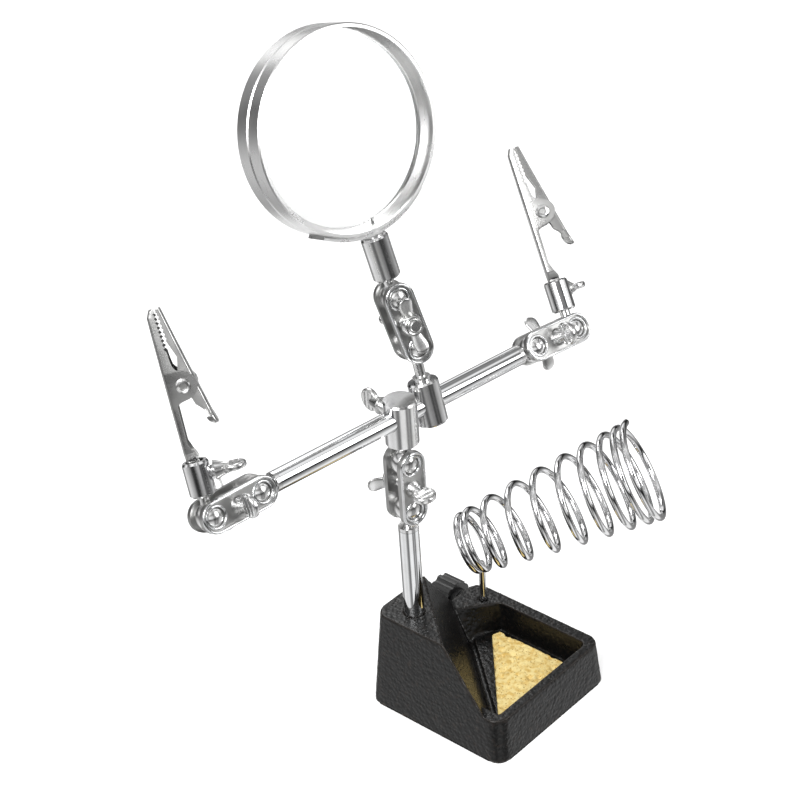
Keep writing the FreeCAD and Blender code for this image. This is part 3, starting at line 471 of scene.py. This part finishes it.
def holder_line():
    """The wire's centre line: up the leg, round one bend, then the widening left-hand coil."""
    axis = np.array((math.cos(COIL_AZIMUTH) * math.cos(COIL_RISE),
                     math.sin(COIL_AZIMUTH) * math.cos(COIL_RISE), math.sin(COIL_RISE)))
    upright = np.array((0.0, 0.0, 1.0))
    up = upright - axis * axis[2]
    up /= np.linalg.norm(up)
    side = np.cross(axis, up)
    ledge = np.array(joints["holder_turn"]["pos_m"]) / MM
    line = [ledge + upright * rise for rise in np.linspace(-LEG_DEPTH, LEG_RISE - LEG_BEND, 12)]
    knee = ledge + upright * LEG_RISE
    for share in np.linspace(0.1, 1, 10):
        before = knee - upright * LEG_BEND * (1 - share)
        after = knee + side * LEG_BEND * share
        line.append(before * (1 - share) + after * share)
    centre = knee + side * LEG_BEND + up * COIL_SMALL
    advance = 0.0
    for step in range(1, int(COIL_TURNS * COIL_STEPS)):
        turn = step / COIL_STEPS
        advance += float(np.interp(turn, PITCH_TURNS, PITCHES)) / COIL_STEPS
        radius = COIL_SMALL + (COIL_LARGE - COIL_SMALL) * min(advance / COIL_LENGTH, 1.0) ** 0.75
        angle = math.pi - 2 * math.pi * turn
        spoke = up * math.cos(angle) + side * math.sin(angle)
        line.append(centre + axis * advance + spoke * radius)
    line = np.array(line) * MM
    eased = line.copy()
    for _ in range(6):
        eased[1:-1] = (eased[:-2] + 2 * eased[1:-1] + eased[2:]) / 4
    return eased


coil = build_piece("coil_holder_wire", [tube(holder_line(), WIRE_RADIUS)], wire_plate, 50)
stand_for(coil, "coil_holder")


# ---------------------------------------------------------------------------
# Link hardware: each pair of plates is drawn together by a thumb screw and a wing nut.
# Both are die cast with soft edges; the screw's flat head carries pressed grip ribs.

HEAD_RADIUS, HEAD_HALF, HEAD_ROUND = 3.9, 1.0, 0.8
GROOVES, GROOVE_HALF, GROOVE_DEPTH = (-1.8, 0.0, 1.8), 0.36, 0.42
SHANK_RADIUS, LINK_HEAD = 1.85, 8.95
WING_ROOT, WING_LENGTH, WING_SLOPE = 2.4, 6.9, math.radians(17)
NUT_REACH = 3.85


def frame_matrix(origin, along, flat):
    """Local frame in metres: Z along, X as near as it can be to flat."""
    along = Vector(along).normalized()
    flat = Vector(flat)
    flat = (flat - along * flat.dot(along)).normalized()
    side = along.cross(flat)
    matrix = Matrix((flat, side, along)).transposed().to_4x4()
    matrix.translation = Vector(origin)
    return matrix @ Matrix.Diagonal((MM, MM, MM, 1))


def lathe(profile, sides=48):
    """Corners and faces of a shape turned about Z from (radius, height) pairs, bottom to top."""
    corners, faces, rings = [], [], []
    for radius, height in profile:
        if radius < 1e-6:
            rings.append([len(corners)] * sides)
            corners.append((0.0, 0.0, height))
            continue
        rings.append(list(range(len(corners), len(corners) + sides)))
        corners += [(radius * math.cos(2 * math.pi * k / sides),
                     radius * math.sin(2 * math.pi * k / sides), height) for k in range(sides)]
    for lower, upper in zip(rings, rings[1:]):
        for k in range(sides):
            face = [lower[k], lower[(k + 1) % sides], upper[(k + 1) % sides], upper[k]]
            face = [index for n, index in enumerate(face) if index not in face[:n]]
            if len(face) > 2:
                faces.append(tuple(face))
    return corners, faces


def grip_head(centre):
    """Flat round head standing in the screw's plane, with three pressed grip grooves in each face."""
    rings, sides = 30, 96
    corners, faces = [], []
    for face_side in (-1, 1):
        for ring in range(rings + 1):
            radius = HEAD_RADIUS * math.sin(0.5 * math.pi * ring / rings)
            for k in range(sides):
                angle = 2 * math.pi * k / sides
                across, up = radius * math.cos(angle), radius * math.sin(angle)
                rim = max(0.0, (radius - HEAD_RADIUS + HEAD_ROUND) / HEAD_ROUND)
                round_off = math.sqrt(max(0.0, 1 - rim ** 2))
                groove = max(max(0.0, 1 - abs(up - place) / GROOVE_HALF) for place in GROOVES)
                inside = min(max((HEAD_RADIUS - 0.5 - radius) / 0.3, 0.0), 1.0)
                height = HEAD_HALF * (0.3 + 0.7 * round_off) - GROOVE_DEPTH * inside * groove
                corners.append((face_side * height if ring < rings else 0.0, across, centre + up))
    count = (rings + 1) * sides
    for half in range(2):
        for ring in range(rings):
            start = half * count + ring * sides
            for k in range(sides):
                quad = (start + k, start + (k + 1) % sides,
                        start + sides + (k + 1) % sides, start + sides + k)
                faces.append(quad if half else tuple(reversed(quad)))
    return corners, faces


def threaded_shank(bottom, top, radius):
    """Screw shank with rolled rings of thread up to a plain neck."""
    profile = [(0.0, bottom), (radius - 0.35, bottom), (radius - 0.1, bottom + 0.3)]
    height = bottom + 0.5
    while height < top - 1.0:
        profile += [(radius, height), (radius - 0.18, height + 0.3)]
        height += 0.6
    profile += [(radius, height), (radius, top), (0.0, top)]
    return lathe(profile, 32)


def node_points(node):
    return read_points(nodes[node].data)


def reach_along(node, origin, along):
    """How far the CAD node runs each way along a direction from a point, in millimetres."""
    shares = (node_points(node) - np.array(origin)) @ np.array(Vector(along).normalized()) / MM
    return shares.min(), shares.max()


def thumb_screw(node, origin, along, flat, head, finish):
    """Screw with its round grip head standing out along its axis."""
    bottom = reach_along(node, origin, along)[0] + 0.05
    neck = lathe([(0.0, head - 5.6), (2.9, head - 5.6), (3.0, head - 5.3), (2.7, head - 4.6),
                  (2.2, head - 3.4), (1.9, head - 2.2), (1.6, head - 1.0), (0.0, head - 1.0)])
    shells = [threaded_shank(bottom, head - 5.0, SHANK_RADIUS), neck, grip_head(head)]
    piece = build_piece(node + "_grip", shells, finish, 40, frame_matrix(origin, along, flat))
    stand_for(piece, node)
    return piece


def wing(side):
    """One wing of a nut: a rounded tongue swept out and up, thin at its edge."""
    corners, faces = [], []
    stations, around = 18, 28
    for n in range(stations + 1):
        share = n / stations
        out = WING_ROOT + share * WING_LENGTH
        lift = 1.2 + (out - WING_ROOT) * math.tan(WING_SLOPE) + 0.3 * share * share
        round_end = math.sqrt(max(0.0, 1 - max(0.0, (share - 0.72) / 0.28) ** 2))
        half_width = (1.6 + 0.75 * min(1.0, share * 1.6)) * max(round_end, 0.04)
        half_thick = (0.85 - 0.3 * share) * max(round_end, 0.25)
        for k in range(around):
            angle = 2 * math.pi * k / around
            across = half_width * math.copysign(abs(math.cos(angle)) ** 0.75, math.cos(angle))
            thick = half_thick * math.copysign(abs(math.sin(angle)) ** 0.6, math.sin(angle))
            corners.append((across, side * out, lift + thick))
    for n in range(stations):
        start = n * around
        for k in range(around):
            quad = (start + k, start + (k + 1) % around,
                    start + around + (k + 1) % around, start + around + k)
            faces.append(quad if side > 0 else tuple(reversed(quad)))
    ends = [tuple(reversed(range(around))), tuple(range(stations * around, (stations + 1) * around))]
    return corners, faces + (ends if side > 0 else [tuple(reversed(end)) for end in ends])


def wing_nut(node, origin, along, wings, finish):
    """Nut with a round boss, a ringed top and two lifted wings."""
    boss = lathe([(2.0, 0.05), (3.5, 0.05), (3.7, 0.3), (3.6, 1.6), (3.35, 3.2), (3.2, 3.6), (2.95, 3.8),
                  (2.75, 3.78), (2.6, 3.45), (2.45, 3.4), (2.3, 3.62), (2.1, 3.7), (1.92, 3.5), (1.92, 0.3),
                  (2.0, 0.05)])
    matrix = frame_matrix(origin, along, Vector(along).cross(Vector(wings)))
    piece = build_piece(node + "_cast", [boss, wing(1), wing(-1)], finish, 40, matrix)
    stand_for(piece, node)
    return piece


def joint_place(name):
    return Vector(joints[name]["pos_m"]), Vector(joints[name]["axis"]).normalized()


PLATE_FACE, PLATE_FLOOR, PLATE_HALF, BALL_SPACING = 4.6, 3.8, 5.0, 17.2


def plate_rims():
    """The polished lips of both plates of a link: round the outline and round each ball's hole."""
    shells = []
    outline = []
    for end, first_angle in ((BALL_SPACING, -90), (0.0, 90)):
        for angle in range(first_angle, first_angle + 181, 9):
            outline.append((end, math.radians(angle)))
    outline.append(outline[0])
    for face in (-1, 1):
        path = []
        for end, angle in outline:
            reach = PLATE_HALF - 0.5
            path.append((end + reach * math.cos(angle), reach * math.sin(angle), face * (PLATE_FACE - 0.38)))
        shells.append(tube(path, 0.46, 12))
        for ball in (0.0, BALL_SPACING):
            profile = [(2.95, PLATE_FLOOR - 0.3), (2.95, PLATE_FLOOR + 0.15), (3.1, PLATE_FLOOR + 0.4),
                       (3.35, PLATE_FLOOR + 0.45), (3.65, PLATE_FLOOR + 0.25), (3.8, PLATE_FLOOR - 0.3),
                       (2.95, PLATE_FLOOR - 0.3)]
            corners, faces = lathe(profile, 40)
            moved = [(x + ball, y, face * z) for x, y, z in corners]
            shells.append((moved, faces if face > 0 else [tuple(reversed(f)) for f in faces]))
    return shells


LINKS = {"lower": ("lower_link_tilt", "crossbar_clamp_tilt", "lower_nut_turn"),
         "left": ("left_link_tilt", "left_socket_tilt", "left_nut_turn"),
         "right": ("right_link_tilt", "right_socket_tilt", "right_nut_turn"),
         "magnifier": ("magnifier_link_tilt", "magnifier_socket_tilt", "magnifier_nut_turn")}
for link, (first, second, nut) in LINKS.items():
    lengthwise = joint_place(second)[0] - joint_place(first)[0]
    nut_place, nut_axis = joint_place(nut)
    middle = nut_place - nut_axis * NUT_REACH * MM
    crosswise = nut_axis.cross(lengthwise)
    thumb_screw(f"{link}_link_screw", middle, -nut_axis, lengthwise, LINK_HEAD, soft_chrome)
    wing_nut(f"{link}_link_wing_nut", nut_place, nut_axis,
             lengthwise if link == "magnifier" else crosswise, soft_chrome)
    rims = build_piece(f"{link}_link_rims", plate_rims(), chrome, 60,
                       frame_matrix(joint_place(first)[0], nut_axis, lengthwise))
    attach(rims, body_of[f"{link}_link_screw"])


# ---------------------------------------------------------------------------
# Side screws: the same ribbed thumb screws hold each clip in its socket and
# the crossbar in its clamp.

SOCKET_HEAD, CLAMP_HEAD = 10.5, 14.3


def outward(node, origin, axis):
    """The way along the axis on which the CAD node lies."""
    nearest, farthest = reach_along(node, origin, axis)
    return axis if farthest + nearest > 0 else -axis


for side in ("left", "right"):
    place, axis = joint_place(f"{side}_socket_screw_turn")
    thumb_screw(f"{side}_socket_screw", place, outward(f"{side}_socket_screw", place, axis),
                joint_place(f"{side}_socket_swivel")[1], SOCKET_HEAD, soft_chrome)
place, axis = joint_place("clamp_screw_turn")
thumb_screw("crossbar_clamp_screw", place, outward("crossbar_clamp_screw", place, axis),
            joints["crossbar_slide"]["axis"], CLAMP_HEAD, soft_chrome)


# ---------------------------------------------------------------------------
# Crocodile clips: two jaws folded from nickel plated sheet round a hollow rivet, one with
# a thumb lever, both with saw teeth, and a wound spring that keeps them shut.

SHEET, CLIP_TOP, SOCKET_END = 0.7, 45.5, 17.0
RIVET_SIDE, RIVET_HEIGHT = 2.9, 22.6


def along_profile(height, table):
    """Straight runs between (height, value) pairs."""
    return float(np.interp(height, [row[0] for row in table], [row[1] for row in table]))


def tooth(height, low, high, pitch, depth):
    """Saw tooth on the jaw's lip: a long flank and a short one."""
    if not low < height < high:
        return 0.0
    share = (height - low) / pitch % 1.0
    return depth * (share / 0.75 if share < 0.75 else (1 - share) / 0.25)


def folded_jaw(bottom, back, lip, half, teeth, way):
    """Sheet folded into a channel: a back, and two cheeks whose lips point along way."""
    corners, faces = [], []
    heights = np.arange(bottom, CLIP_TOP - 0.02, 0.24)
    heights = np.append(heights, CLIP_TOP - 0.02)
    fold = 0.9
    bends = [math.radians(angle) for angle in (0, 22, 45, 68, 90)]
    for height in heights:
        spine = along_profile(height, back)
        edge = along_profile(height, lip) - way * teeth(height)
        width = along_profile(height, half)
        edge = spine + way * max(way * (edge - spine), fold + 0.05)
        near_tip = min(1.0, (CLIP_TOP - height) / 1.2 + 0.35)
        thick, bend = SHEET * near_tip, min(fold, width * 0.8)
        inner = max(bend - thick, 0.12)
        ring = [(edge, -width)]
        ring += [(spine + way * bend * (1 - math.sin(a)), -width + bend * (1 - math.cos(a))) for a in bends]
        ring += [(spine + way * bend * (1 - math.cos(a)), width - bend * (1 - math.sin(a))) for a in bends]
        ring += [(edge, width), (edge, width - thick)]
        ring += [(spine + way * (thick + inner * (1 - math.sin(a))),
                  width - thick - inner * (1 - math.cos(a))) for a in bends]
        ring += [(spine + way * (thick + inner * (1 - math.cos(a))),
                  -width + thick + inner * (1 - math.sin(a))) for a in bends]
        ring += [(edge, -width + thick)]
        corners += [(x, y, SOCKET_END + height) for x, y in ring]
    count = len(corners) // len(heights)
    for n in range(len(heights) - 1):
        start = n * count
        for k in range(count):
            quad = (start + k, start + (k + 1) % count, start + count + (k + 1) % count, start + count + k)
            faces.append(quad if way < 0 else tuple(reversed(quad)))
    for start, flip in ((0, way < 0), ((len(heights) - 1) * count, way > 0)):
        half_count = count // 2
        for k in range(half_count - 1):
            quad = (start + k, start + k + 1, start + count - 2 - k, start + (count - 1 - k))
            faces.append(tuple(reversed(quad)) if flip else quad)
    return corners, faces


def fixed_jaw():
    return folded_jaw(
        -5.5, [(-6, -2.2), (40, -2.25), (43.5, -2.2), (45.5, -1.3)],
        [(-6, 1.3), (0, 1.7), (1.5, 1.6), (3.5, 0.5), (6, -0.35), (16.8, -0.2), (17.6, 0.4), (18.1, 1.6),
         (18.5, 3.6), (19.1, 4.9), (20.0, 6.0), (21.2, 6.8), (22.6, 7.1), (24, 6.85), (25.2, 6.1),
         (26.2, 4.9), (26.9, 3.4), (27.4, 2.0), (28.6, 1.2), (31, 0.9), (45.5, 0.35)],
        [(-6, 1.5), (0.5, 1.6), (3, 3.15), (27, 3.2), (45.5, 1.95)],
        lambda height: tooth(height, 33.0, 44.6, 1.3, 0.75), 1)


def moving_jaw():
    return folded_jaw(
        9.8, [(9.8, 9.9), (10.8, 9.6), (13, 8.9), (24, 6.55), (36, 4.0), (45.5, 2.1)],
        [(9.8, 8.9), (10.4, 7.9), (11.4, 7.2), (13, 6.7), (14.2, 6.9), (15.2, 6.2), (16.5, 4.9), (18.6, 4.3),
         (19.4, 3.0), (20.5, 1.6), (22.6, 0.8), (25, 1.2), (27, 2.4), (31, 3.3), (36.5, 1.3), (45.5, 0.65)],
        [(9.8, 2.3), (10.6, 3.0), (12.2, 3.15), (14.5, 2.5), (27, 2.38), (45.5, 1.9)],
        lambda height: tooth(height, 36.0, 44.6, 1.3, 0.55), -1)


def rivet():
    """Hollow rivet across the cheeks, its ends rolled over into bright rings."""
    half = 3.25
    head = [(0.95, -half - 0.2), (1.25, -half - 0.62), (1.7, -half - 0.72), (2.1, -half - 0.5),
            (2.25, -half - 0.05)]
    body = [(1.45, -half + 0.05), (1.45, half - 0.05)]
    mirror = [(radius, -height) for radius, height in reversed(head)]
    bore = [(0.9, half - 1.2), (0.0, half - 1.2)]
    return lathe([(0.0, -half + 1.2), (0.9, -half + 1.2)] + head + body + mirror + bore, 32)


def clip_spring():
    """Wound spring round the rivet, one leg to the back and one to the lever."""
    radius = 2.05
    line = []
    for share in np.linspace(0, 1, 10)[:-1]:
        line.append((radius, -1.5, -4.5 + 4.5 * share))
    for share in np.linspace(0, 1, 110):
        angle = 2 * math.pi * 3.25 * share
        line.append((radius * math.cos(angle), -1.5 + 3.0 * share, radius * math.sin(angle)))
    end = np.array(line[-1])
    for share in np.linspace(0, 1, 8)[1:]:
        line.append(tuple(end + np.array((-2.6 * share, 0.0, -1.5 * share))))
    return tube(line, 0.38, 10)


for side in ("left", "right"):
    ball, upward = joint_place(f"{side}_socket_swivel")
    hinge = joint_place(f"{side}_jaw_open")[1]
    clip_frame = frame_matrix(ball, upward, hinge.cross(upward))
    rivet_frame = clip_frame @ Matrix.Translation((RIVET_SIDE, 0, SOCKET_END + RIVET_HEIGHT))
    across_frame = rivet_frame @ Matrix.Rotation(math.pi / 2, 4, "X")
    parts = (("clip_fixed_jaw", "back_jaw", fixed_jaw(), clip_frame, clip_plate, "clip_steel"),
             ("clip_moving_jaw", "lever_jaw", moving_jaw(), clip_frame, clip_plate, "clip_steel"),
             ("clip_rivet", "rolled_rivet", rivet(), across_frame, soft_chrome, "bright_chrome"),
             ("clip_spring", "wound_spring", clip_spring(), rivet_frame, wire_plate, "wire_chrome"))
    for node, name, shell, matrix, finish, slot in parts:
        piece = build_piece(f"{side}_{name}", [shell], finish, 38, matrix)
        stand_for(piece, f"{side}_{node}")


# ---------------------------------------------------------------------------
# Magnifier lens: a ground and polished double convex glass, clear, held
# between the two pressed half rings by their inner lips.

def clear_glass():
    material, tree, shader = new_material("lens_glass")
    place = tree.nodes.new("ShaderNodeTexCoord")
    dust = tree.nodes.new("ShaderNodeTexNoise")
    dust.inputs["Scale"].default_value = 260.0
    dust.inputs["Detail"].default_value = 6.0
    tree.links.new(place.outputs["Object"], dust.inputs["Vector"])
    tree.links.new(spread(tree, dust.outputs["Fac"], 0.0, 0.03), shader.inputs["Roughness"])
    tree.links.new(blend_colours(tree, dust.outputs["Fac"], (0.975, 0.985, 0.98), (0.99, 0.995, 0.995)),
                   shader.inputs["Base Color"])
    shader.inputs["Transmission Weight"].default_value = 1.0
    shader.inputs["IOR"].default_value = 1.5
    return material


LENS_RADIUS, LENS_MIDDLE, LENS_SPHERE = 29.85, 4.15, 115.0


def glass_lens():
    """Double convex blank: two shallow spherical faces and a ground edge, centred on its own axis."""
    profile = []
    for share in np.linspace(0, 1, 28):
        out = LENS_RADIUS * share
        profile.append((out, LENS_MIDDLE - LENS_SPHERE + math.sqrt(LENS_SPHERE * LENS_SPHERE - out * out)))
    face = [(out, -height) for out, height in profile]
    return lathe(face + list(reversed(profile)), 128)


points = node_points("magnifier_lens")
centre = (points.min(axis=0) + points.max(axis=0)) / 2
spin = np.linalg.svd(points - points.mean(axis=0), full_matrices=False)[2]
lens = build_piece("magnifier_glass", [glass_lens()], clear_glass(), 40,
                   frame_matrix(centre, spin[2], spin[0]))
stand_for(lens, "magnifier_lens")


# ---------------------------------------------------------------------------
# Room: a flat pale floor, light and dark bands for the plating to mirror behind a
# backdrop that the camera sees as one plain grey, three soft boxes, and the camera.

FLOOR = 4.0
floor_mesh = bpy.data.meshes.new("floor")
floor_mesh.from_pydata([(-FLOOR, -FLOOR, 0), (FLOOR, -FLOOR, 0), (FLOOR, FLOOR, 0), (-FLOOR, FLOOR, 0)],
                       [], [(0, 1, 2, 3)])
floor = bpy.data.objects.new("floor", floor_mesh)
bpy.context.scene.collection.objects.link(floor)
floor_material, tree, shader = new_material("pale_floor")
shader.inputs["Base Color"].default_value = (0.97, 0.97, 0.97, 1)
shader.inputs["Roughness"].default_value = 0.9
shader.inputs["Emission Color"].default_value = (1, 1, 1, 1)
shader.inputs["Emission Strength"].default_value = 0.25
floor_mesh.materials.append(floor_material)
floor.visible_glossy = False      # the plating mirrors the room's bands below it instead

world = bpy.data.worlds.new("studio")
bpy.context.scene.world = world
bpy.context.scene.view_settings.view_transform = "Standard"
world.use_nodes = True
tree = world.node_tree
sky = tree.nodes["Background"]
place = tree.nodes.new("ShaderNodeTexCoord")
split = tree.nodes.new("ShaderNodeSeparateXYZ")
tree.links.new(place.outputs["Generated"], split.inputs["Vector"])


def bands(tree, value, low, high, stops):
    """Greys along a value that runs from low to high."""
    span = tree.nodes.new("ShaderNodeMapRange")
    span.inputs["From Min"].default_value = low
    span.inputs["From Max"].default_value = high
    ramp = tree.nodes.new("ShaderNodeValToRGB")
    tree.links.new(value, span.inputs["Value"])
    tree.links.new(span.outputs["Result"], ramp.inputs["Fac"])
    ends = ramp.color_ramp.elements
    for end, (position, grey) in zip(ends, (stops[0], stops[-1])):
        end.position, end.color = position, (grey, grey, grey, 1)
    for position, grey in stops[1:-1]:
        ends.new(position).color = (grey, grey, grey, 1)
    return ramp.outputs["Color"]


turn = tree.nodes.new("ShaderNodeMath")
turn.operation = "ARCTAN2"
tree.links.new(split.outputs["Y"], turn.inputs[0])
tree.links.new(split.outputs["X"], turn.inputs[1])
height_bands = bands(tree, split.outputs["Z"], -1, 1, (
    (0.0, 0.95), (0.20, 0.9), (0.34, 0.75), (0.44, 0.35), (0.50, 0.05), (0.56, 0.05), (0.60, 0.9),
    (0.72, 1.0), (0.77, 0.2), (0.84, 0.15), (0.88, 0.85), (1.0, 0.95)))
turn_bands = bands(tree, turn.outputs[0], -math.pi, math.pi, (
    (0.0, 0.9), (0.05, 0.25), (0.09, 0.2), (0.12, 1.0), (0.20, 1.0), (0.23, 0.15), (0.27, 0.5), (0.30, 0.12),
    (0.34, 0.95), (0.44, 1.0), (0.48, 0.3), (0.56, 0.25), (0.60, 1.0), (0.70, 0.9), (0.74, 0.2), (0.80, 0.35),
    (0.84, 1.0), (0.94, 0.8), (1.0, 0.9)))
studio_grey = tree.nodes.new("ShaderNodeMix")
studio_grey.data_type, studio_grey.blend_type = "RGBA", "MULTIPLY"
studio_grey.inputs["Factor"].default_value = 1.0
tree.links.new(height_bands, studio_grey.inputs["A"])
tree.links.new(turn_bands, studio_grey.inputs["B"])
seen = tree.nodes.new("ShaderNodeLightPath")
plain = tree.nodes.new("ShaderNodeMix")
plain.data_type = "RGBA"
plain.inputs["B"].default_value = (0.85, 0.85, 0.85, 1)
tree.links.new(seen.outputs["Is Camera Ray"], plain.inputs["Factor"])
tree.links.new(studio_grey.outputs["Result"], plain.inputs["A"])
tree.links.new(plain.outputs["Result"], sky.inputs["Color"])
sky.inputs["Strength"].default_value = 1.15


def soft_box(name, place, target, width, height, power):
    lamp = bpy.data.lights.new(name, "AREA")
    lamp.shape, lamp.size, lamp.size_y, lamp.energy = "RECTANGLE", width, height, power
    lit = bpy.data.objects.new(name, lamp)
    lit.location = place
    lit.rotation_euler = (Vector(target) - Vector(place)).to_track_quat("-Z", "Y").to_euler()
    bpy.context.scene.collection.objects.link(lit)


soft_box("key_box", (-0.7, -0.15, 0.75), (0, 0, 0.1), 0.5, 0.5, 8)
soft_box("fill_box", (0.35, -0.8, 0.55), (0, 0, 0.1), 0.35, 0.6, 3)
soft_box("back_box", (0.3, 0.7, 0.8), (0, 0, 0.1), 0.6, 0.4, 3)

CAMERA_PLACE = Vector((-0.4097, -0.3572, 0.4525))
CAMERA_AZIMUTH, CAMERA_FALL, CAMERA_ROLL = math.radians(46.5), math.radians(31.77), math.radians(-4.04)
ahead = Vector((math.sin(CAMERA_AZIMUTH) * math.cos(CAMERA_FALL),
                math.cos(CAMERA_AZIMUTH) * math.cos(CAMERA_FALL), -math.sin(CAMERA_FALL)))
right = Vector((math.cos(CAMERA_AZIMUTH), -math.sin(CAMERA_AZIMUTH), 0))
top = right.cross(ahead)
rolled_right = right * math.cos(CAMERA_ROLL) + top * math.sin(CAMERA_ROLL)
rolled_top = -right * math.sin(CAMERA_ROLL) + top * math.cos(CAMERA_ROLL)
lens_data = bpy.data.cameras.new("camera")
lens_data.lens, lens_data.sensor_width = 93.4, 36.0
camera = bpy.data.objects.new("camera", lens_data)
camera.matrix_world = Matrix.Translation(CAMERA_PLACE) @ Matrix(
    (rolled_right, rolled_top, -ahead)).transposed().to_4x4()
bpy.context.scene.collection.objects.link(camera)
bpy.context.scene.camera = camera
